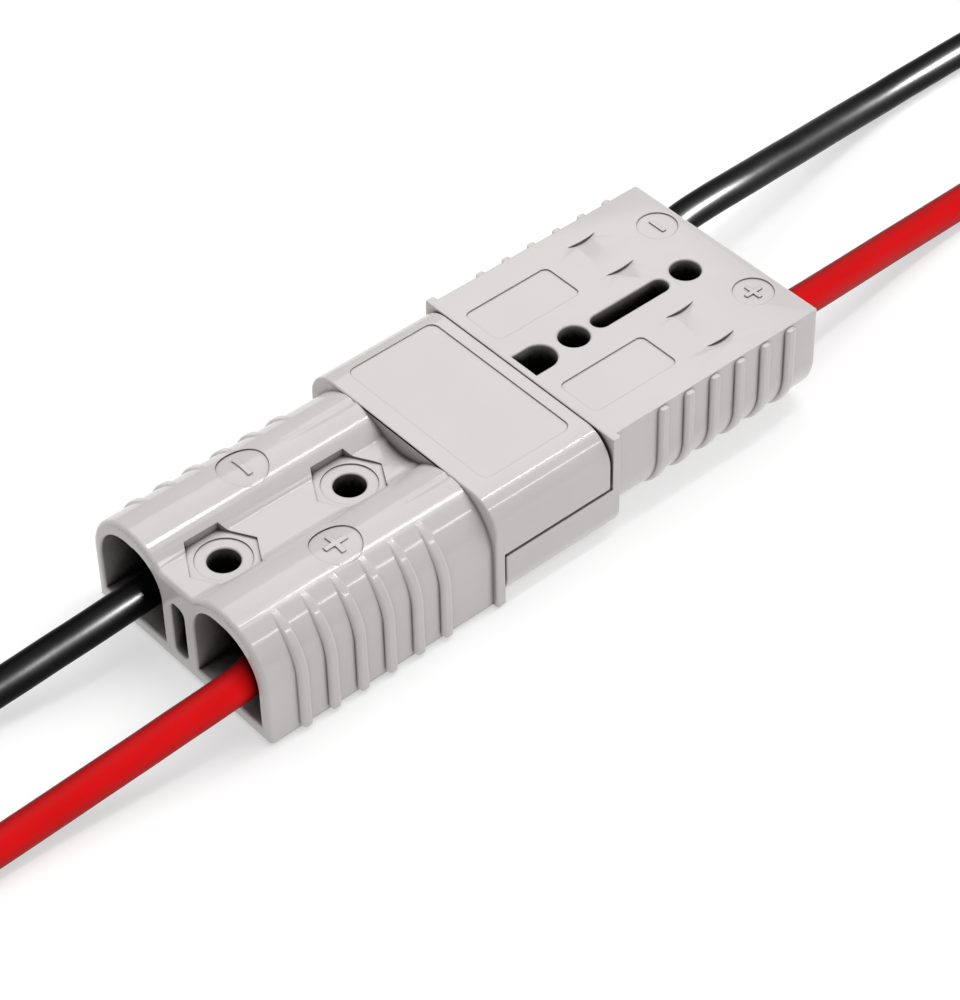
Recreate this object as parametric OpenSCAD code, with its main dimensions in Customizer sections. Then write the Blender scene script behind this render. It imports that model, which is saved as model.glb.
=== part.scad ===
// Mated pair of genderless two-pole power connector halves, with leads.
// Millimetres, +Z up. X runs along the pair, half A at -X and half B at +X.
// Every shape of a half is drawn once, in a half frame whose origin is the
// middle of the mated zone; half B is half A turned half a turn about Y.

/* [Pair] */
// height of the mating plane above the resting plane
mid_z = 13; // [10:0.1:20]
// gap between the end of a hood and the flange it meets
seam_gap = 0.5; // [0.1:0.05:1]
// gap between the two hoods along the parting plane
parting_gap = 0.8; // [0.1:0.05:1]

/* [Hood and flange] */
// outside width of hood and flange
hood_w = 55; // [40:0.1:80]
// half length of the hood zone
hood_half = 13.3; // [8:0.1:25]
// top of the hood above the mating plane
hood_top = 13; // [8:0.1:20]
// outside corner radius of the hood
hood_r = 7; // [2:0.1:10]
// wall thickness of the hood
hood_wall = 2.3; // [1:0.1:4]
// x of the flange's rear face
flange_x = 15.8; // [12:0.1:30]
// width of the web between the two poles inside the hood
web_w = 3; // [1:0.1:6]
// recessed label field, length along x
label_l = 22; // [5:0.1:25]
// recessed label field, width
label_w = 41; // [10:0.1:50]
// side offset of the label field
label_y = 0.8; // [-3:0.1:3]
// depth of recessed fields and discs
field_d = 0.3; // [0.1:0.05:1]

/* [Body] */
// x of the cable end
end_x = 70; // [40:0.1:120]
// side offset of each pole
pole_y = 13.9; // [8:0.1:25]
// radius of the two humps
hump_r = 12.3; // [6:0.1:20]
// height of the hump centres above the mating plane
hump_z = 0.7; // [-5:0.1:5]
// level of the valley floor between the humps
valley_z = 9.3; // [5:0.1:13]
// radius of the rounded foot of each hump
foot_r = 2; // [0.5:0.1:5]
// lowest level of the scoop between the humps at the flange
scoop_z = 8.4; // [6:0.1:9]
// level of the flat face, below the mating plane
flat_z = 12.4; // [8:0.1:20]

/* [Cable opening] */
// inner side wall of a cable opening
arch_in = 4.9; // [3:0.1:8]
// outer side wall of a cable opening
arch_out = 23.9; // [18:0.1:26]
// top of a cable opening
arch_top = 9.6; // [6:0.1:11]
// radius of the outer shoulder of the arch
arch_ro = 9.5; // [5:0.1:12]
// radius of the inner shoulder of the arch
arch_ri = 7.5; // [4:0.1:12]
// floor of a cable opening
arch_floor = -9; // [-12:0.1:0]
// x where the wide cable channel ends
arch_end = 27; // [20:0.1:50]
// width of the contact pocket
pocket_w = 16; // [10:0.1:18]
// roof of the contact pocket
pocket_top = 8.6; // [5:0.1:10]

/* [Ribs] */
// number of ribs on a side
rib_n = 6; // [0:1:10]
// x of the first rib
rib_x = 27.7; // [20:0.1:40]
// distance between ribs
rib_pitch = 6.8; // [3:0.1:12]
// width of a rib
rib_w = 2.6; // [1:0.1:5]
// how far a rib stands out from the side
rib_h = 1.2; // [0.6:0.05:1.3]
// radius of a rib's long edges
rib_r = 0.9; // [0.1:0.05:1.2]
// how far a rib's bend is set outwards from the hump's centre
rib_a = 1.3; // [0.5:0.05:2]
// how far a rib's bend is set down from the hump's centre
rib_b = 0.38; // [0.1:0.01:1]
// distance from the flat face to a rib's end
rib_end = 0.4; // [0.1:0.05:2]

/* [Screw holes] */
// x of the screw hole nearer the hood
hole_near = 28.5; // [20:0.1:40]
// x of the screw hole nearer the cable end
hole_far = 58.5; // [40:0.1:66]
// radius of a screw hole
hole_r = 3.25; // [1:0.05:5]
// corner radius of the hexagonal recess
hex_r = 7.85; // [4:0.05:12]
// floor level of the hexagonal recess
hex_z = 8.8; // [5:0.1:12]

/* [Contact] */
// blade thickness
blade_t = 3; // [1:0.1:5]
// blade width
blade_w = 15; // [6:0.1:18]
// clearance of the mating face from the mating plane
blade_gap = 0.05; // [0.01:0.01:0.5]
// how far the blade reaches past the middle
blade_tip = 11; // [5:0.1:13]
// outside radius of the crimp barrel
barrel_r = 4.5; // [3:0.1:8]
// bore radius of the crimp barrel
bore_r = 2.5; // [1:0.1:5]
// x of the barrel's mouth
barrel_x = 40; // [30:0.1:60]

/* [Spring] */
// spring thickness
spring_t = 0.8; // [0.3:0.1:2]
// spring width
spring_w = 11; // [4:0.1:16]

/* [Leads] */
// jacket radius
jacket_r = 3.5; // [2:0.1:8]
// sides of a jacket's section
jacket_n = 12; // [8:1:16]
// wall of the shrink sleeve
sleeve_t = 0.5; // [0.2:0.1:2]
// length of the shrink sleeve
sleeve_l = 16; // [8:1:40]
// x where jacket and strands meet
jacket_x = 41; // [30:0.1:60]

/* [Hidden] */
$fn = 0;
$fa = 6;
$fs = 0.6;
eps = 0.01;
face_x = hood_half + seam_gap;
side_y = pole_y + hump_r;
axis_z = blade_gap + blade_t / 2;
ribs = [for (i = [0 : rib_n - 1]) rib_x + i * rib_pitch];
grey = [0.80, 0.79, 0.78];
// the dents' straight edges
dent_y = [-19.6, -8, 9.3, 20.9];
// centre and foot point of the rounded foot, tangent to valley and hump
foot_h = valley_z + foot_r - hump_z;
foot_d = hump_r + foot_r - 0.03;
foot_c = pole_y - sqrt(foot_d * foot_d - foot_h * foot_h);
foot_y = pole_y - (pole_y - foot_c) * hump_r / (hump_r + foot_r);
foot_top = hump_z + foot_h * hump_r / (hump_r + foot_r);
// radius of the scoop, tangent to both humps
scoop_r = (pole_y * pole_y + (scoop_z - hump_z) * (scoop_z - hump_z) - hump_r * hump_r)
    / (2 * (hump_r - scoop_z + hump_z));
scoop_tilt = 8.3;

// 2D helpers: a drawing in (y, z) pushed along x from x0 to x1
module along_x(x0, x1) {
    translate([x0, 0, 0]) rotate([90, 0, 90]) linear_extrude(x1 - x0) children();
}

module round_box(w, h, r) {
    union() {
        square([w - 2 * r, h], center = true);
        square([w, h - 2 * r], center = true);
        for (sx = [-1, 1], sy = [-1, 1])
            translate([sx * (w / 2 - r), sy * (h / 2 - r)]) circle(r = r);
    }
}

// outline of the hood: flat top, large corner radii, open downwards to z0
module hood_outline(w, top, r, z0) {
    union() {
        translate([-w / 2, z0]) square([w, top - r - z0]);
        translate([-w / 2 + r, z0]) square([w - 2 * r, top - z0]);
        for (s = [-1, 1]) translate([s * (w / 2 - r), top - r]) circle(r = r);
    }
}

module body_outline() {
    union() {
        for (s = [-1, 1]) translate([s * pole_y, hump_z]) circle(r = hump_r);
        translate([-side_y, -flat_z]) square([2 * side_y, flat_z + hump_z]);
        translate([-pole_y, -flat_z]) square([2 * pole_y, flat_z + valley_z]);
        // rounded foot where the valley meets each hump
        difference() {
            translate([-foot_y - 1, 0]) square([2 * foot_y + 2, foot_top]);
            translate([-foot_c, valley_z]) square([2 * foot_c, 10]);
            for (s = [-1, 1]) translate([s * foot_c, valley_z + foot_r]) circle(r = foot_r);
        }
    }
}

module flange_outline() {
    union() {
        hood_outline(hood_w, hood_top, hood_r, -1);
        translate([-hood_w / 2, -flat_z]) square([hood_w, flat_z]);
    }
}

// side rib: a flat band with rounded edges up the side, bending over the outer
// flank of a hump and running out near its top; drawn for the side at +Y, at x = 0
module rib_section() {
    translate([hump_r + rib_h - rib_a - 1.5, 0]) round_box(3, rib_w, rib_r);
}

module rib() {
    drop = flat_z + hump_z - rib_b - rib_end;
    end_r = 0.9;
    translate([0, pole_y + rib_a, hump_z - rib_b]) {
        rotate([0, 90, 0]) rotate([0, 0, 90]) rotate_extrude(angle = 90) rib_section();
        intersection() {
            translate([0, 0, -drop - 1]) linear_extrude(drop + 1) rotate(90) rib_section();
            // the lower end seen from the side, its corners rounded
            translate([0, 40, 0]) rotate([90, 0, 0]) linear_extrude(80) union() {
                translate([-rib_w / 2 - 1, end_r - drop]) square([rib_w + 2, drop]);
                translate([end_r - rib_w / 2, -drop]) square([rib_w - 2 * end_r, 2]);
                for (s = [-1, 1]) translate([s * (rib_w / 2 - end_r), end_r - drop]) circle(r = end_r);
            }
        }
    }
}

module rib_set() {
    for (x = ribs, s = [0, 1]) mirror([0, s, 0]) translate([-x, 0, 0]) rib();
}

// the valley deepens towards the flange
module scoop() {
    intersection() {
        translate([-flange_x - 12, 0, scoop_z + scoop_r / cos(scoop_tilt) + 12 * tan(scoop_tilt)])
            rotate([0, 90 + scoop_tilt, 0]) cylinder(r = scoop_r, h = 30);
        translate([-flange_x - 12, -20, 0]) cube([12, 40, 40]);
    }
}

// cable opening: flat floor, upright sides, arched top
module arch_outline() {
    yi = arch_in + arch_ri;
    yo = arch_out - arch_ro;
    union() {
        translate([yi, arch_top - arch_ri]) circle(r = arch_ri);
        translate([yo, arch_top - arch_ro]) circle(r = arch_ro);
        translate([yi, arch_floor]) square([yo - yi, arch_top - arch_floor]);
        translate([arch_in, arch_floor]) square([yo - arch_in, arch_top - arch_ri - arch_floor]);
        translate([yi, arch_floor]) square([arch_out - yi, arch_top - arch_ro - arch_floor]);
    }
}

module pocket_outline() {
    translate([pole_y - pocket_w / 2, blade_gap]) square([pocket_w, pocket_top - blade_gap]);
}

module bar(l) {
    square([l, 1.1], center = true);
}

module sign_bars(plus) {
    union() {
        rotate(90) bar(5.2);
        if (plus) bar(5.2);
    }
}

// polarity disc sunk into a hump, with its sign left standing
module hump_disc(s) {
    difference() {
        translate([-43, s * pole_y, 8]) cylinder(r = 5.1, h = 8);
        along_x(-52, -34) translate([s * pole_y, hump_z]) circle(r = hump_r - field_d);
        translate([-43, s * pole_y, 7]) linear_extrude(10) sign_bars(s < 0);
    }
}

module flat_disc(s) {
    translate([-63.9, s * pole_y, -flat_z - 1]) linear_extrude(1 + field_d) difference() {
        circle(r = 4.25);
        scale(0.8) sign_bars(s < 0);
    }
}

// thumbnail dent: an inclined round scoop, cut off at its deepest by a nearly
// straight wall on local y = 0, and running out to nothing at both ends and at y = -2.4
module dent() {
    deep = 0.8;
    r = 10;
    difference() {
        translate([0, 0, deep - r / cos(18.4)]) rotate([90 + 18.4, 0, 0])
            translate([0, 0, -6]) cylinder(r = r, h = 12);
        translate([0, 26.5, -10]) cylinder(r = 26.8, h = 20);
    }
}

module flat_face_cuts() {
    // blind D-shaped hole, its straight edge towards the hood
    translate([-19.4, 0, -flat_z - 1]) linear_extrude(12) union() {
        circle(r = 3.65);
        translate([0, -3.65]) square([3.9, 7.3]);
    }
    // blind slot between the screw holes
    translate([-43.4, 0, -flat_z - 1]) linear_extrude(13) round_box(19.8, 4.1, 2.04);
    // recessed fields
    for (s = [-1, 1]) translate([-27.5, s * 14, -flat_z - 1]) linear_extrude(1 + field_d)
        round_box(21.8, 10.6, 1.5);
    for (y = dent_y) translate([-49.3, y, -flat_z]) dent();
    for (s = [-1, 1]) flat_disc(s);
}

module half_housing() {
    difference() {
        union() {
            difference() {
                along_x(-end_x, -flange_x) body_outline();
                scoop();
            }
            along_x(-flange_x, -face_x) flange_outline();
            difference() {
                along_x(-face_x - eps, hood_half) hood_outline(hood_w, hood_top, hood_r, parting_gap / 2);
                along_x(-face_x, hood_half + 1)
                    hood_outline(hood_w - 2 * hood_wall, hood_top - hood_wall, hood_r - hood_wall, -5);
            }
            along_x(-face_x - eps, hood_half - 1) translate([-web_w / 2, parting_gap / 2])
                square([web_w, hood_top - hood_wall]);
            rib_set();
        }
        // cable channels and contact pockets
        for (s = [0, 1]) mirror([0, s, 0]) {
            along_x(-end_x - 1, -arch_end) arch_outline();
            along_x(-arch_end - 1, -face_x + 1) pocket_outline();
        }
        // core slot in the cable end
        along_x(-end_x - 1, -end_x + 6) translate([0, -2.6]) round_box(4.1, 13, 1.6);
        // screw holes with hexagonal recesses
        for (x = [-hole_near, -hole_far]) {
            translate([x, 0, -20]) cylinder(r = hole_r, h = 40);
            translate([x, 0, hex_z]) cylinder(r = hex_r, h = 6, $fn = 6);
            translate([x, 0, hex_z - field_d]) cylinder(r = 5.6, h = 2);
        }
        for (s = [-1, 1]) hump_disc(s);
        flat_face_cuts();
        // recessed field on the hood
        translate([-0.7, label_y, hood_top - field_d]) linear_extrude(2) round_box(label_l, label_w, 2);
    }
}

// blade with crimp barrel, drawn for the pole at +Y
module half_contact() {
    translate([0, pole_y, 0]) difference() {
        union() {
            // blade, its mating face down, with a lead-in at the tip
            intersection() {
                rotate([90, 0, 0]) translate([0, 0, -10]) linear_extrude(20) polygon([
                    [-24, blade_gap], [blade_tip - 2.2, blade_gap], [blade_tip, blade_gap + 1.2],
                    [blade_tip, blade_gap + blade_t - 0.5], [blade_tip - 0.5, blade_gap + blade_t],
                    [-24, blade_gap + blade_t]]);
                translate([(blade_tip - 24) / 2, 0, -5]) linear_extrude(15)
                    round_box(blade_tip + 24, blade_w, 1.6);
            }
            // neck between blade and barrel
            intersection() {
                rotate([90, 0, 0]) translate([0, 0, -10]) linear_extrude(20) polygon([
                    [-28.6, axis_z - 3.6], [-27.3, blade_gap], [-20, blade_gap],
                    [-20, blade_gap + blade_t], [-23.5, blade_gap + blade_t], [-28.6, axis_z + 3.8]]);
                translate([0, 0, -10]) linear_extrude(25) polygon([
                    [-28.6, -4.2], [-24.6, -blade_w / 2], [-20, -blade_w / 2],
                    [-20, blade_w / 2], [-24.6, blade_w / 2], [-28.6, 4.2]]);
            }
            translate([-barrel_x, 0, axis_z]) rotate([0, 90, 0]) cylinder(r = barrel_r, h = barrel_x - 28);
        }
        translate([-barrel_x - 1, 0, axis_z]) rotate([0, 90, 0]) cylinder(r = bore_r, h = 11);
        // two crimp dents across the top of the barrel
        for (x = [-37, -32.5]) translate([x, 10, axis_z + barrel_r + 0.6]) rotate([90, 0, 0])
            cylinder(r = 1.4, h = 20);
    }
}

// leaf spring above the blade: seated under the pocket roof, bowed onto the blade
function spring_z(x) =
    x < -20 ? pocket_top - spring_t
    : x < 2 ? (pocket_top - spring_t) + (blade_gap + blade_t + 0.05 - pocket_top + spring_t)
        * (1 - cos(180 * (x + 20) / 22)) / 2
    : (blade_gap + blade_t + 0.05) + 0.035 * (x - 2) * (x - 2);

module half_spring() {
    xs = [for (x = [-26 : 1 : 9]) x];
    n = len(xs);
    translate([0, pole_y + spring_w / 2, 0]) rotate([90, 0, 0]) linear_extrude(spring_w) polygon(concat(
        [for (i = [0 : n - 1]) [xs[i], spring_z(xs[i])]],
        [for (i = [n - 1 : -1 : 0]) [xs[i], spring_z(xs[i]) + spring_t]]));
}

// strands of a lead, from the bottom of the barrel to the jacket
module half_strands() {
    translate([-jacket_x, pole_y, axis_z]) rotate([0, 90, 0])
        cylinder(r = bore_r - 0.05, h = jacket_x - 30);
}

// one round tube swept through a list of points, ends square to x
function unit3(v) = v / norm(v);
function route_dir(p, i) = (i == 0 || i == len(p) - 1) ? [1, 0, 0]
    : unit3(unit3(p[i] - p[i - 1]) + unit3(p[i + 1] - p[i]));
function ring(c, t, r, n) =
    let (u = unit3(cross([0, 0, 1], t)), v = cross(t, u))
    [for (k = [0 : n - 1]) c + r * (cos(360 * (k + 0.5) / n) * u + sin(360 * (k + 0.5) / n) * v)];

module sweep(p, r, n) {
    // the route is always given from low x to high x
    m = len(p);
    pts = [for (i = [0 : m - 1]) each ring(p[i], route_dir(p, i), r, n)];
    sides = [for (i = [0 : m - 2], k = [0 : n - 1])
        [i * n + k, i * n + (k + 1) % n, (i + 1) * n + (k + 1) % n, (i + 1) * n + k]];
    polyhedron(points = pts, faces = concat(
        [[for (k = [0 : n - 1]) k]],
        [for (f = sides) [f[3], f[2], f[1], f[0]]],
        [[for (k = [n - 1 : -1 : 0]) (m - 1) * n + k]]), convexity = 6);
}

// routes of the four leads, from low x to high x, in the pair's frame
route_a_neg = [[-144, 15, 4], [-136, 15, 4], [-128, 15, 4], [-120, 14.9, 4.4], [-112, 14.5, 5.4],
    [-104, 13.9, 6.6], [-97, 13.2, 7.8], [-90, 12.6, 9], [-83, 11.9, 10.2], [-76, 11.4, 11.3],
    [-69, 11.1, 12.2], [-62, 11.6, 13.1], [-55, 12.7, 13.9], [-48, 13.6, 14.4],
    [-jacket_x, pole_y, mid_z + axis_z]];
route_a_pos = [[-148, -15.5, 4], [-140, -15.5, 4], [-132, -15.5, 4], [-124, -15.5, 4.1],
    [-116, -15.6, 4.6], [-108, -15.9, 5.4], [-100, -16.4, 6.5], [-92, -17, 7.7], [-84, -17.6, 9],
    [-76, -18.1, 10.1], [-69, -18.3, 11.1], [-62, -17.3, 12.3], [-55, -15.7, 13.4], [-48, -14.4, 14.2],
    [-jacket_x, -pole_y, mid_z + axis_z]];
route_b_neg = [[jacket_x, pole_y, mid_z - axis_z], [48, 14.3, 11.9], [55, 15.5, 13.1], [62, 17.1, 14.6],
    [69, 18.6, 16.1], [76, 19.6, 16.9], [84, 20.3, 16.7], [92, 21.2, 15.8], [100, 22.5, 14.4],
    [108, 24.1, 12.7], [116, 25.7, 10.9], [124, 27.4, 9.1], [132, 29, 7.4], [140, 30.3, 6],
    [148, 31.3, 4.9], [156, 32, 4.3], [164, 32.3, 4], [172, 32.4, 4], [180, 32.4, 4], [188, 32.4, 4],
    [196, 32.4, 4]];
route_b_pos = [[jacket_x, -pole_y, mid_z - axis_z], [48, -13.8, 11.6], [55, -13.5, 11.9],
    [62, -12.9, 12.2], [69, -12.3, 12.4], [76, -11.8, 12.1], [84, -11.1, 11.2], [92, -10.1, 10],
    [100, -9, 8.7], [108, -7.8, 7.3], [116, -6.8, 6.1], [124, -5.9, 5], [132, -5.3, 4.3], [140, -5, 4],
    [148, -5, 4], [156, -5, 4]];

// ring lug, its barrel starting at the origin and running towards +X
module ring_lug() {
    difference() {
        union() {
            rotate([0, 90, 0]) cylinder(r = jacket_r, h = 9);
            intersection() {
                rotate([90, 0, 0]) translate([0, 0, -10]) linear_extrude(20) polygon([
                    [8, -3], [8, 3], [14, 1.2], [34, 1.2], [34, -1.2], [14, -1.2]]);
                translate([0, 0, -5]) linear_extrude(10) union() {
                    polygon([[8, -3.4], [14, -6], [22, -7.5], [22, 7.5], [14, 6], [8, 3.4]]);
                    translate([23, 0]) circle(r = 8);
                }
            }
        }
        translate([23, 0, -5]) cylinder(r = 4.2, h = 10);
    }
}

// sleeve over the last of a jacket and the lug's barrel, towards +X
module sleeve() {
    translate([-sleeve_l + 6, 0, 0]) rotate([0, 90, 0]) difference() {
        cylinder(r = jacket_r + sleeve_t, h = sleeve_l);
        translate([0, 0, -1]) cylinder(r = jacket_r + 0.02, h = sleeve_l + 2);
    }
}

module in_a() { translate([0, 0, mid_z]) children(); }
module in_b() { translate([0, 0, mid_z]) rotate([0, 180, 0]) children(); }

module housing_a() { color(grey) in_a() half_housing(); }
module housing_b() { color(grey) in_b() half_housing(); }
module contact_a_neg() { color([0.82, 0.82, 0.84]) in_a() half_contact(); }
module contact_a_pos() { color([0.82, 0.82, 0.84]) in_a() mirror([0, 1, 0]) half_contact(); }
module contact_b_neg() { color([0.82, 0.82, 0.84]) in_b() half_contact(); }
module contact_b_pos() { color([0.82, 0.82, 0.84]) in_b() mirror([0, 1, 0]) half_contact(); }
module spring_a_neg() { color([0.7, 0.7, 0.72]) in_a() half_spring(); }
module spring_a_pos() { color([0.7, 0.7, 0.72]) in_a() mirror([0, 1, 0]) half_spring(); }
module spring_b_neg() { color([0.7, 0.7, 0.72]) in_b() half_spring(); }
module spring_b_pos() { color([0.7, 0.7, 0.72]) in_b() mirror([0, 1, 0]) half_spring(); }
module strands_a_neg() { color([0.72, 0.45, 0.3]) in_a() half_strands(); }
module strands_a_pos() { color([0.72, 0.45, 0.3]) in_a() mirror([0, 1, 0]) half_strands(); }
module strands_b_neg() { color([0.72, 0.45, 0.3]) in_b() half_strands(); }
module strands_b_pos() { color([0.72, 0.45, 0.3]) in_b() mirror([0, 1, 0]) half_strands(); }
module jacket_a_neg() { color([0.05, 0.05, 0.05]) sweep(route_a_neg, jacket_r, jacket_n); }
module jacket_a_pos() { color([0.8, 0.05, 0.05]) sweep(route_a_pos, jacket_r, jacket_n); }
module jacket_b_neg() { color([0.05, 0.05, 0.05]) sweep(route_b_neg, jacket_r, jacket_n); }
module jacket_b_pos() { color([0.8, 0.05, 0.05]) sweep(route_b_pos, jacket_r, jacket_n); }
module at_a(p) { translate(p[0]) mirror([1, 0, 0]) children(); }
module at_b(p) { translate(p[len(p) - 1]) children(); }
module lug_a_neg() { color([0.8, 0.8, 0.82]) at_a(route_a_neg) ring_lug(); }
module lug_a_pos() { color([0.8, 0.8, 0.82]) at_a(route_a_pos) ring_lug(); }
module lug_b_neg() { color([0.8, 0.8, 0.82]) at_b(route_b_neg) ring_lug(); }
module lug_b_pos() { color([0.8, 0.8, 0.82]) at_b(route_b_pos) ring_lug(); }
module sleeve_a_neg() { color([0.1, 0.1, 0.1]) at_a(route_a_neg) sleeve(); }
module sleeve_a_pos() { color([0.7, 0.05, 0.05]) at_a(route_a_pos) sleeve(); }
module sleeve_b_neg() { color([0.1, 0.1, 0.1]) at_b(route_b_neg) sleeve(); }
module sleeve_b_pos() { color([0.7, 0.05, 0.05]) at_b(route_b_pos) sleeve(); }

housing_a();
housing_b();
contact_a_neg();
contact_a_pos();
contact_b_neg();
contact_b_pos();
spring_a_neg();
spring_a_pos();
spring_b_neg();
spring_b_pos();
strands_a_neg();
strands_a_pos();
strands_b_neg();
strands_b_pos();
jacket_a_neg();
jacket_a_pos();
jacket_b_neg();
jacket_b_pos();
lug_a_neg();
lug_a_pos();
lug_b_neg();
lug_b_pos();
sleeve_a_neg();
sleeve_a_pos();
sleeve_b_neg();
sleeve_b_pos();
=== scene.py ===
import math

import bmesh
import bpy
from mathutils import Matrix, Vector


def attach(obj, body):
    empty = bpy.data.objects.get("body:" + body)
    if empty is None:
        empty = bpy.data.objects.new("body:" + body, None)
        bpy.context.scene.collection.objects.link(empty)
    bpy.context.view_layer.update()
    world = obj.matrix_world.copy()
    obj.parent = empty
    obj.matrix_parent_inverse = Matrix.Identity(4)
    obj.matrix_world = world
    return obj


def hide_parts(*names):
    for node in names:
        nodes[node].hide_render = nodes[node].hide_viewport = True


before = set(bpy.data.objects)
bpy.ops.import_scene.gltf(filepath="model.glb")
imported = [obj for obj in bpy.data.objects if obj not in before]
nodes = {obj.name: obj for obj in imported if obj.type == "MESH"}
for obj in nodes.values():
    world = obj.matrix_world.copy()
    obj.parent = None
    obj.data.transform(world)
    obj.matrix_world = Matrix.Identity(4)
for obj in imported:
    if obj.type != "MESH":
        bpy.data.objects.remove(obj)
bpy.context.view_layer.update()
scene = bpy.context.scene
MM = 0.001


# ---------------------------------------------------------------- camera
def make_camera():
    az, el, roll = math.radians(-40.0133), math.radians(43.8754), math.radians(-1.39)
    place = Vector((-303.304, -365.479, 455.744)) * MM
    back = Vector((math.sin(az) * math.cos(el), -math.cos(az) * math.cos(el), math.sin(el)))
    right = (-back).cross(Vector((0, 0, 1))).normalized()
    up = right.cross(-back)
    r = right * math.cos(roll) + up * math.sin(roll)
    u = up * math.cos(roll) - right * math.sin(roll)
    data = bpy.data.cameras.new("camera")
    data.sensor_width = 36.0
    data.lens = 120.292
    data.clip_start, data.clip_end = 0.02, 20.0
    cam = bpy.data.objects.new("camera", data)
    cam.matrix_world = Matrix(
        ((r.x, u.x, back.x, place.x), (r.y, u.y, back.y, place.y), (r.z, u.z, back.z, place.z), (0, 0, 0, 1))
    )
    scene.collection.objects.link(cam)
    scene.camera = cam
    return cam


camera = make_camera()


# ---------------------------------------------------------------- materials
class Nodes:
    """Small helper round a material's node tree."""

    def __init__(self, name):
        self.mat = bpy.data.materials.new(name)
        self.mat.use_nodes = True
        self.tree = self.mat.node_tree
        self.tree.nodes.clear()
        self.out = self.add("ShaderNodeOutputMaterial")
        self.bsdf = self.add("ShaderNodeBsdfPrincipled")
        self.link(self.bsdf, "BSDF", self.out, "Surface")
        self.coord = self.add("ShaderNodeTexCoord")

    def add(self, kind, **props):
        n = self.tree.nodes.new(kind)
        for k, v in props.items():
            setattr(n, k, v)
        return n

    def link(self, a, out, b, inp):
        self.tree.links.new(a.outputs[out], b.inputs[inp])

    def set(self, **values):
        for k, v in values.items():
            self.bsdf.inputs[k.replace("_", " ")].default_value = v

    def noise(self, scale, detail=3.0, rough=0.5, stretch=None):
        n = self.add("ShaderNodeTexNoise")
        n.inputs["Scale"].default_value = scale
        n.inputs["Detail"].default_value = detail
        n.inputs["Roughness"].default_value = rough
        if stretch:
            m = self.add("ShaderNodeMapping")
            m.inputs["Scale"].default_value = stretch
            self.link(self.coord, "Object", m, "Vector")
            self.link(m, "Vector", n, "Vector")
        else:
            self.link(self.coord, "Object", n, "Vector")
        return n

    def ramp(self, src, out, stops):
        r = self.add("ShaderNodeValToRGB")
        e = r.color_ramp.elements
        while len(e) < len(stops):
            e.new(0.5)
        for k, (p, c) in enumerate(stops):
            e[k].position = p
            e[k].color = (c[0], c[1], c[2], 1.0)
        self.link(src, out, r, "Fac")
        return r

    def span(self, src, out, lo, hi, a=0.0, b=1.0):
        m = self.add("ShaderNodeMapRange")
        m.inputs["From Min"].default_value = a
        m.inputs["From Max"].default_value = b
        m.inputs["To Min"].default_value = lo
        m.inputs["To Max"].default_value = hi
        self.link(src, out, m, "Value")
        return m

    def bump(self, src, out, strength, distance):
        b = self.add("ShaderNodeBump")
        b.inputs["Strength"].default_value = strength
        b.inputs["Distance"].default_value = distance
        self.link(src, out, b, "Height")
        self.link(b, "Normal", self.bsdf, "Normal")
        return b


def jacket_material(name, dark, light, rough, level=0.2):
    m = Nodes(name)
    n = m.noise(140.0, 4.0, 0.6, (0.25, 1.0, 1.0))
    c = m.ramp(n, "Fac", [(0.3, dark), (0.7, light)])
    m.link(c, "Color", m.bsdf, "Base Color")
    r = m.span(n, "Fac", rough - 0.03, rough + 0.05, 0.3, 0.7)
    m.link(r, "Result", m.bsdf, "Roughness")
    f = m.noise(900.0, 2.0, 0.5)
    m.bump(f, "Fac", 0.04, 0.0002)
    m.set(Specular_IOR_Level=level)
    return m.mat


mat_black = jacket_material("jacket_black", (0.0008, 0.0008, 0.0009), (0.0016, 0.0016, 0.0018), 0.30, 0.035)
mat_red = jacket_material("jacket_red", (0.078, 0.0005, 0.0006), (0.089, 0.0007, 0.0009), 0.45, 0.08)

# ---------------------------------------------------------------- cords
# the leads' routes, from the contact's barrel out to the ring lug
ROUTES = {
    "a_neg": [(-41, 13.9, 14.55), (-48, 13.6, 14.4), (-55, 12.7, 13.9), (-62, 11.6, 13.1), (-69, 11.1, 12.2),
              (-76, 11.4, 11.3), (-83, 11.9, 10.2), (-90, 12.6, 9), (-97, 13.2, 7.8), (-104, 13.9, 6.6),
              (-112, 14.5, 5.4), (-120, 14.9, 4.4), (-128, 15, 4), (-136, 15, 4), (-144, 15, 4)],
    "a_pos": [(-41, -13.9, 14.55), (-48, -14.4, 14.2), (-55, -15.7, 13.4), (-62, -17.3, 12.3),
              (-69, -18.3, 11.1), (-76, -18.1, 10.1), (-84, -17.6, 9), (-92, -17, 7.7), (-100, -16.4, 6.5),
              (-108, -15.9, 5.4), (-116, -15.6, 4.6), (-124, -15.5, 4.1), (-132, -15.5, 4), (-140, -15.5, 4),
              (-148, -15.5, 4)],
    "b_neg": [(41, 13.9, 11.45), (48, 14.3, 11.9), (55, 15.5, 13.1), (62, 17.1, 14.6), (69, 18.6, 16.1),
              (76, 19.6, 16.9), (84, 20.3, 16.7), (92, 21.2, 15.8), (100, 22.5, 14.4), (108, 24.1, 12.7),
              (116, 25.7, 10.9), (124, 27.4, 9.1), (132, 29, 7.4), (140, 30.3, 6), (148, 31.3, 4.9),
              (156, 32, 4.3), (164, 32.3, 4), (172, 32.4, 4), (180, 32.4, 4), (188, 32.4, 4),
              (196, 32.4, 4)],
    "b_pos": [(41, -13.9, 11.45), (48, -13.8, 11.6), (55, -13.5, 11.9), (62, -12.9, 12.2), (69, -12.3, 12.4),
              (76, -11.8, 12.1), (84, -11.1, 11.2), (92, -10.1, 10), (100, -9, 8.7), (108, -7.8, 7.3),
              (116, -6.8, 6.1), (124, -5.9, 5), (132, -5.3, 4.3), (140, -5, 4), (148, -5, 4), (156, -5, 4)],
}


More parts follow.
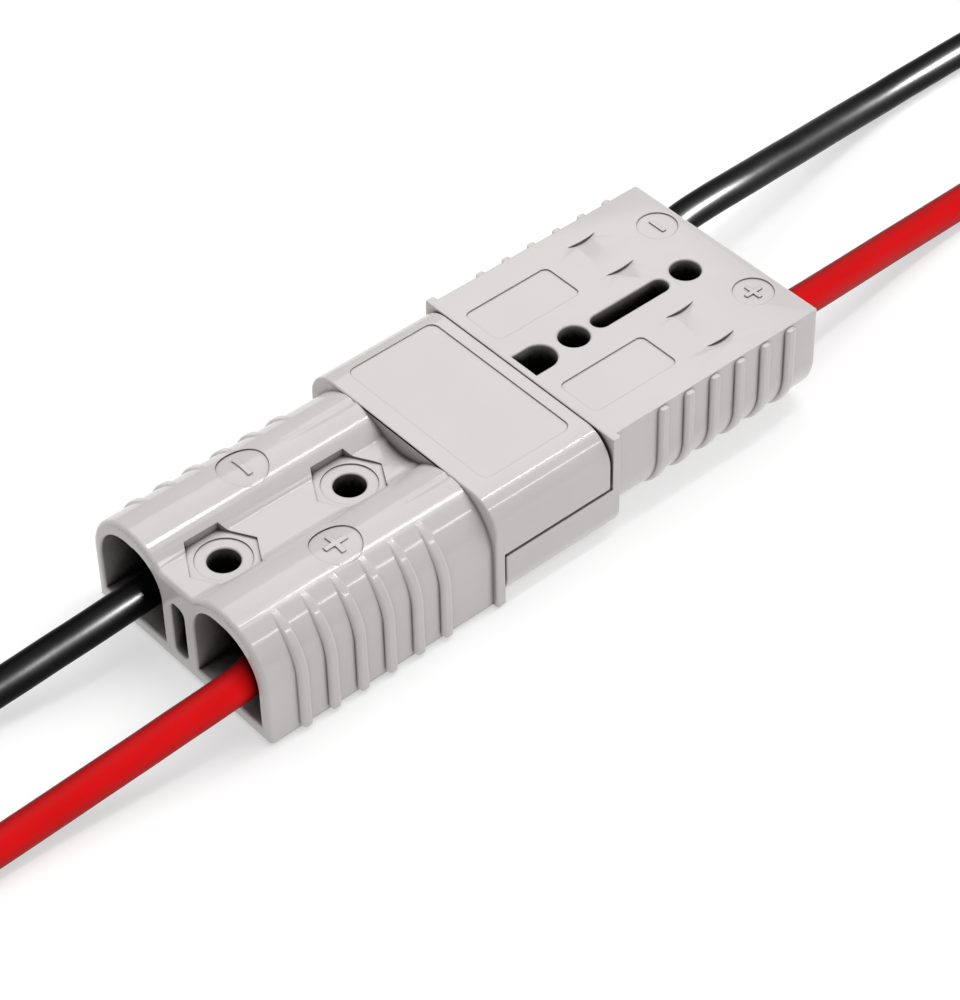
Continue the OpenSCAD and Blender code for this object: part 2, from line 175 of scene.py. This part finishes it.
def smooth_path(points, per=6):
    """A cubic through the points, which are evenly enough spaced, with its ends along X."""
    p = [Vector(q) for q in points]
    t = []
    for i in range(len(p)):
        if i in (0, len(p) - 1):
            s = (p[1] - p[0]) if i == 0 else (p[-1] - p[-2])
            t.append(Vector((s.length * (1 if s.x > 0 else -1), 0, 0)))
        else:
            a, b = (p[i] - p[i - 1]), (p[i + 1] - p[i])
            t.append((a + b) * 0.5)
    out = []
    for i in range(len(p) - 1):
        for k in range(per):
            u = k / per
            h00, h10 = 2 * u**3 - 3 * u**2 + 1, u**3 - 2 * u**2 + u
            h01, h11 = -2 * u**3 + 3 * u**2, u**3 - u**2
            out.append(p[i] * h00 + t[i] * h10 + p[i + 1] * h01 + t[i + 1] * h11)
    out.append(p[-1])
    return [v * MM for v in out]


def tube_mesh(name, path, radius, sides=32):
    """A closed round tube along path, its end rings square to it."""
    bm = bmesh.new()
    rings = []
    for i, c in enumerate(path):
        a = path[max(i - 1, 0)]
        b = path[min(i + 1, len(path) - 1)]
        d = (b - a).normalized()
        u = Vector((0, 0, 1)).cross(d).normalized()
        w = d.cross(u)
        rings.append([
            bm.verts.new(c + radius * (math.cos(2 * math.pi * k / sides) * u + math.sin(2 * math.pi * k / sides) * w))
            for k in range(sides)
        ])
    for r0, r1 in zip(rings, rings[1:]):
        for k in range(sides):
            bm.faces.new((r0[k], r0[(k + 1) % sides], r1[(k + 1) % sides], r1[k])).smooth = True
    bm.faces.new(rings[0][::-1])
    bm.faces.new(rings[-1])
    bmesh.ops.recalc_face_normals(bm, faces=bm.faces)
    me = bpy.data.meshes.new(name)
    bm.to_mesh(me)
    bm.free()
    ob = bpy.data.objects.new(name, me)
    scene.collection.objects.link(ob)
    return ob


leads = {}
for key, route in ROUTES.items():
    path = smooth_path(route)
    ob = tube_mesh("lead_" + key, path, 3.5 * MM)
    ob.data.materials.append(mat_black if key.endswith("neg") else mat_red)
    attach(ob, "half_" + key[0])
    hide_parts("jacket_" + key)
    leads[key] = ob


# ---------------------------------------------------------------- housings
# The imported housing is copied, and the edges that a mould leaves rounded are rounded
# in the copy. The work is done in the half's own frame, in millimetres: the cable end
# at x = -70, the mating plane at z = 0, the flat face at z = -12.4.
def flat_across(n, axis):
    return abs(n[axis]) < 0.02


def touching(bm, axis, level):
    for f in bm.faces:
        if flat_across(f.normal, axis) and any(abs(v.co[axis] - level) < 2e-3 for v in f.verts):
            yield f


def fill_plane(bm, axis, level, side):
    """Make the faces that lie in one plane anew from their outlines."""
    old = [
        f for f in bm.faces
        if f.normal[axis] * side > 0.9 and all(abs(v.co[axis] - level) < 2e-3 for v in f.verts)
    ]
    old += [
        f for f in bm.faces
        if f.normal[axis] * side < -0.9 and all(abs(v.co[axis] - level) < 2e-3 for v in f.verts)
    ]
    inside = set(old)
    rim = [e for f in old for e in f.edges if sum(g in inside for g in e.link_faces) == 1]
    rim = list(dict.fromkeys(rim))
    bmesh.ops.delete(bm, geom=old, context="FACES_ONLY")
    loose = [e for e in bm.edges if not e.link_faces and e.is_valid]
    bmesh.ops.delete(bm, geom=loose, context="EDGES")
    rim = [e for e in rim if e.is_valid]
    normal = Vector((0, 0, 0))
    normal[axis] = side
    made = bmesh.ops.triangle_fill(bm, use_beauty=True, use_dissolve=False, edges=rim, normal=normal)
    for f in made["geom"]:
        if isinstance(f, bmesh.types.BMFace):
            f.normal_update()
            if f.normal[axis] * side < 0:
                f.normal_flip()


def round_rim(bm, axis, level, into, radius, wanted, steps=4):
    """Round the edge between the plane at level and the walls that rise from it.

    The walls are cut at a few depths, and each cut's points move into the material by
    what a fillet of that radius takes away there.
    """
    walls = [f for f in touching(bm, axis, level) if wanted(f) and (f.calc_center_median()[axis] - level) * into > 0]
    if not walls:
        return
    cuts = [(math.pi / 2 * k / steps) for k in range(steps + 1)]
    no = Vector((0, 0, 0))
    no[axis] = 1.0
    keep = set(walls)
    for a in cuts[:-1]:
        at = level + into * radius * (1 - math.sin(a))
        co = Vector((0, 0, 0))
        co[axis] = at
        faces = [f for f in keep if f.is_valid]
        geom = faces + list({e for f in faces for e in f.edges}) + list({v for f in faces for v in f.verts})
        res = bmesh.ops.bisect_plane(bm, geom=geom, dist=1e-4, plane_co=co, plane_no=no)
        keep = {f for f in keep if f.is_valid} | {g for g in res["geom"] if isinstance(g, bmesh.types.BMFace)}
    moves = {}
    for f in keep:
        f.normal_update()
    for a in cuts:
        at = level + into * radius * (1 - math.sin(a))
        d = radius * (1 - math.cos(a))
        for v in {v for f in keep for v in f.verts if abs(v.co[axis] - at) < 1e-3}:
            ns = []
            for f in v.link_faces:
                if f in keep:
                    n = f.normal.copy()
                    n[axis] = 0
                    n.normalize()
                    if all(n.dot(m) < 0.9999 for m in ns):
                        ns.append(n)
            if not ns:
                continue
            if len(ns) == 1:
                move = -ns[0] * d
            else:
                first = ns[0]
                ns.sort(key=first.dot, reverse=True)
                p, q = ns[0], ns[-1]
                move = -(p + q) * (d / max(0.3, 1 + p.dot(q)))
            moves[v] = move
    for v, move in moves.items():
        v.co += move


def housing(src, name, turned):
    me = src.data.copy()
    me.name = name
    bm = bmesh.new()
    bm.from_mesh(me)
    bmesh.ops.remove_doubles(bm, verts=bm.verts, dist=2e-6)
    to_half = Matrix.Scale(1000, 4) @ Matrix.Translation((0, 0, -0.013))
    if turned:
        to_half = Matrix.Rotation(math.pi, 4, "Y") @ to_half
    bm.transform(to_half)
    bm.normal_update()
    bmesh.ops.dissolve_limit(bm, angle_limit=math.radians(0.3), verts=bm.verts, edges=bm.edges)

    def mid(f):
        return f.calc_center_median()

    def in_slot(f):
        c = mid(f)
        return abs(c.y) < 2.2 and -9.3 < c.z < 4.1

    def in_arch(f):
        c = mid(f)
        if in_slot(f):
            return False
        return f.normal.y * ((14 if c.y > 0 else -14) - c.y) - f.normal.z * c.z > 0

    def hole(f):
        c = mid(f)
        return abs(c.y) < 3.9 and not (abs(f.normal.z) > 0.02)

    # cable end: outline, cable openings, core slot
    round_rim(bm, 0, -70, 1, 1.1, lambda f: not in_slot(f) and not in_arch(f), 5)
    round_rim(bm, 0, -70, 1, 0.5, in_arch)
    round_rim(bm, 0, -70, 1, 0.4, in_slot)
    # flange, both sides, and the hood's end
    round_rim(bm, 0, -15.8, 1, 0.45, lambda f: f.normal.z > -0.9)
    round_rim(bm, 0, -13.8, -1, 0.3, lambda f: (abs(f.normal.y) > 0.9 and abs(mid(f).y) > 27.4 and mid(f).z < 0.5)
              or (f.normal.z < -0.9 and mid(f).z < -12))
    round_rim(bm, 0, 13.3, -1, 0.5, lambda f: True)
    # holes in the flat face, and the screw holes at the other side
    round_rim(bm, 2, -12.4, 1, 0.4, hole)
    round_rim(bm, 2, 8.5, -1, 0.4, hole)
    fill_plane(bm, 0, -70, -1)
    fill_plane(bm, 2, -12.4, -1)
    fill_plane(bm, 0, 13.3, 1)
    fill_plane(bm, 2, 8.5, 1)

    for f in bm.faces:
        f.smooth = True
    bm.normal_update()
    for e in bm.edges:
        e.smooth = len(e.link_faces) == 2 and e.calc_face_angle(0) < math.radians(28)
    bm.transform(to_half.inverted())
    out = bpy.data.meshes.new(name)
    bm.to_mesh(out)
    bm.free()
    if "custom_normal" in out.attributes:
        out.attributes.remove(out.attributes["custom_normal"])
    ob = bpy.data.objects.new(name, out)
    scene.collection.objects.link(ob)
    w = ob.modifiers.new("normals", "WEIGHTED_NORMAL")
    w.keep_sharp = True
    w.mode = "FACE_AREA_WITH_ANGLE"
    w.weight = 50
    return ob


def plastic_material():
    m = Nodes("moulded_grey")
    n = m.noise(55.0, 4.0, 0.55)
    c = m.ramp(n, "Fac", [(0.3, (0.575, 0.553, 0.545)), (0.7, (0.600, 0.578, 0.571))])
    # painted shade: deep inside the openings an ambient-occlusion ramp darkens the base colour to a warm near-black
    cavity_shade_ao = m.add("ShaderNodeAmbientOcclusion", samples=8, only_local=True)
    cavity_shade_ao.inputs["Distance"].default_value = 0.03
    k = m.ramp(cavity_shade_ao, "AO", [(0.05, (0.006, 0.005, 0.004)), (0.32, (0.03, 0.027, 0.024)), (0.55, (1, 1, 1))])
    # painted shade: the gap between the halves and tight creases are darkened the same way
    crease_shade_ao = m.add("ShaderNodeAmbientOcclusion", samples=8)
    crease_shade_ao.inputs["Distance"].default_value = 0.0016
    g = m.ramp(crease_shade_ao, "AO", [(0.05, (0.02, 0.02, 0.02)), (0.35, (0.25, 0.24, 0.24)), (0.62, (0.80, 0.79, 0.79)), (0.85, (1, 1, 1))])
    # both painted-shade ramps multiply the plastic's own grey
    col = c.outputs["Color"]
    for f in (k, g):
        mul = m.add("ShaderNodeMix", data_type="RGBA", blend_type="MULTIPLY")
        mul.inputs["Factor"].default_value = 1.0
        m.tree.links.new(col, mul.inputs[6])
        m.tree.links.new(f.outputs["Color"], mul.inputs[7])
        col = mul.outputs[2]
    m.tree.links.new(col, m.bsdf.inputs["Base Color"])
    r = m.span(n, "Fac", 0.10, 0.13, 0.3, 0.7)
    m.link(r, "Result", m.bsdf, "Roughness")
    m.set(IOR=1.5)
    # a small radius on the edges that stay sharp in the mesh, then the mould's faint texture
    edge = m.add("ShaderNodeBevel", samples=6)
    edge.inputs["Radius"].default_value = 0.00022
    f = m.noise(700.0, 2.0, 0.5)
    b = m.bump(f, "Fac", 0.03, 0.0002)
    m.link(edge, "Normal", b, "Normal")
    return m.mat


mat_grey = plastic_material()
for side in ("a", "b"):
    shell = housing(nodes["housing_" + side], "shell_" + side, side == "b")
    shell.data.materials.clear()
    shell.data.materials.append(mat_grey)
    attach(shell, "half_" + side)
    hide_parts("housing_" + side)


# ---------------------------------------------------------------- metal and sleeves
def metal_material(name, dark, light, rough, stretch, bump=0.05):
    m = Nodes(name)
    n = m.noise(420.0, 4.0, 0.6, stretch)
    c = m.ramp(n, "Fac", [(0.3, dark), (0.7, light)])
    m.link(c, "Color", m.bsdf, "Base Color")
    r = m.span(n, "Fac", rough - 0.06, rough + 0.08, 0.3, 0.7)
    m.link(r, "Result", m.bsdf, "Roughness")
    m.set(Metallic=1.0)
    m.bump(n, "Fac", bump, 0.0002)
    return m.mat


def strand_material():
    m = Nodes("copper_strands")
    w = m.add("ShaderNodeTexVoronoi", feature="F1")
    w.inputs["Scale"].default_value = 2600.0
    mp = m.add("ShaderNodeMapping")
    mp.inputs["Scale"].default_value = (0.02, 1.0, 1.0)
    m.link(m.coord, "Object", mp, "Vector")
    m.link(mp, "Vector", w, "Vector")
    c = m.ramp(w, "Distance", [(0.1, (0.86, 0.46, 0.28)), (0.8, (0.30, 0.12, 0.06))])
    m.link(c, "Color", m.bsdf, "Base Color")
    m.set(Metallic=1.0, Roughness=0.3)
    m.bump(w, "Distance", -0.5, 0.0004)
    return m.mat


def paint(node, mat):
    ob = nodes[node]
    if not ob.material_slots:
        ob.data.materials.append(mat)
    for s_ in ob.material_slots:
        s_.material = mat


mat_contact = metal_material("silver_plate", (0.72, 0.71, 0.69), (0.86, 0.85, 0.83), 0.24, (0.3, 1.0, 1.0))
mat_spring = metal_material("spring_steel", (0.50, 0.49, 0.48), (0.64, 0.63, 0.62), 0.32, (0.05, 1.0, 1.0))
mat_lug = metal_material("tinned_copper", (0.66, 0.65, 0.63), (0.80, 0.79, 0.77), 0.34, (1.0, 1.0, 1.0))
mat_strands = strand_material()
mat_sleeve_black = jacket_material("sleeve_black", (0.010, 0.010, 0.011), (0.022, 0.022, 0.023), 0.5)
mat_sleeve_red = jacket_material("sleeve_red", (0.42, 0.006, 0.006), (0.55, 0.012, 0.012), 0.5)
for side in ("a", "b"):
    for pole in ("neg", "pos"):
        key = side + "_" + pole
        paint("contact_" + key, mat_contact)
        paint("spring_" + key, mat_spring)
        paint("strands_" + key, mat_strands)
        paint("lug_" + key, mat_lug)
        paint("sleeve_" + key, mat_sleeve_black if pole == "neg" else mat_sleeve_red)


# ---------------------------------------------------------------- stage
def make_stage():
    bm = bmesh.new()
    s = 3.0
    vs = [bm.verts.new(v) for v in ((-s, -s, 0), (s, -s, 0), (s, s, 0), (-s, s, 0))]
    bm.faces.new(vs)
    me = bpy.data.meshes.new("floor")
    bm.to_mesh(me)
    bm.free()
    ob = bpy.data.objects.new("floor", me)
    scene.collection.objects.link(ob)
    m = Nodes("floor")
    n = m.noise(3.0)
    c = m.ramp(n, "Fac", [(0.3, (0.52, 0.52, 0.52)), (0.7, (0.54, 0.54, 0.54))])
    m.link(c, "Color", m.bsdf, "Base Color")
    m.set(Roughness=0.9, Emission_Color=(1, 1, 1, 1), Emission_Strength=0.51)
    me.materials.append(m.mat)


make_stage()

scene.view_settings.view_transform = "Standard"
scene.view_settings.look = "None"

world = bpy.data.worlds.new("world")
scene.world = world
world.use_nodes = True
world.node_tree.nodes["Background"].inputs[0].default_value = (1.0, 0.995, 0.99, 1)
world.node_tree.nodes["Background"].inputs[1].default_value = 0.40


def area(name, place, aim, size, power, size_y=None, along=None):
    """A rectangular light at place, turned to aim; its long side lies along the given direction."""
    d = bpy.data.lights.new(name, "AREA")
    d.energy = power
    d.shape = "RECTANGLE"
    d.size = size
    d.size_y = size_y or size
    o = bpy.data.objects.new(name, d)
    place, aim = Vector(place), Vector(aim)
    z = (place - aim).normalized()
    x = Vector(along or (1, 0, 0))
    x = (x - x.dot(z) * z).normalized()
    y = z.cross(x)
    o.matrix_world = Matrix(
        ((x.x, y.x, z.x, place.x), (x.y, y.y, z.y, place.y), (x.z, y.z, z.z, place.z), (0, 0, 0, 1))
    )
    scene.collection.objects.link(o)
    return o


# a wide soft light overhead and towards the back, and two strips that draw the two
# bright lines along the humps
area("overhead", (0.25, 0.35, 1.3), (0, 0, 0), 1.4, 11.0)
strips = [
    area("strip_high", Vector((0.463, -0.053, 0.885)) * 1.2, (0, 0, 0), 1.0, 3.0, 0.06),
    area("strip_low", Vector((0.463, -0.587, 0.664)) * 1.2, (0, 0, 0), 1.0, 2.0, 0.06),
]
# the strips belong to the plastic: the cables do not answer them
spared = bpy.data.collections.new("not_under_the_strips")
for ob in leads.values():
    spared.objects.link(ob)
for link in spared.collection_objects:
    link.light_linking.link_state = "EXCLUDE"
for lamp in strips:
    lamp.light_linking.receiver_collection = spared
# lights for the cables alone: a glossy strip on the black ones, a soft one on the red
for pole, place, power, wide, unseen in (
    ("neg", (0.556, -0.690, 0.815), 1900.0, 0.20, "visible_diffuse"),
    ("pos", (0.0, -0.800, 1.024), 138.0, 0.16, "visible_glossy"),
):
    lamp = area("strip_" + pole, place, (0, 0, 0), 1.0, power, wide)
    setattr(lamp, unseen, False)
    only = bpy.data.collections.new("cables_" + pole)
    for key, ob in leads.items():
        if key.endswith(pole):
            only.objects.link(ob)
    lamp.light_linking.receiver_collection = only
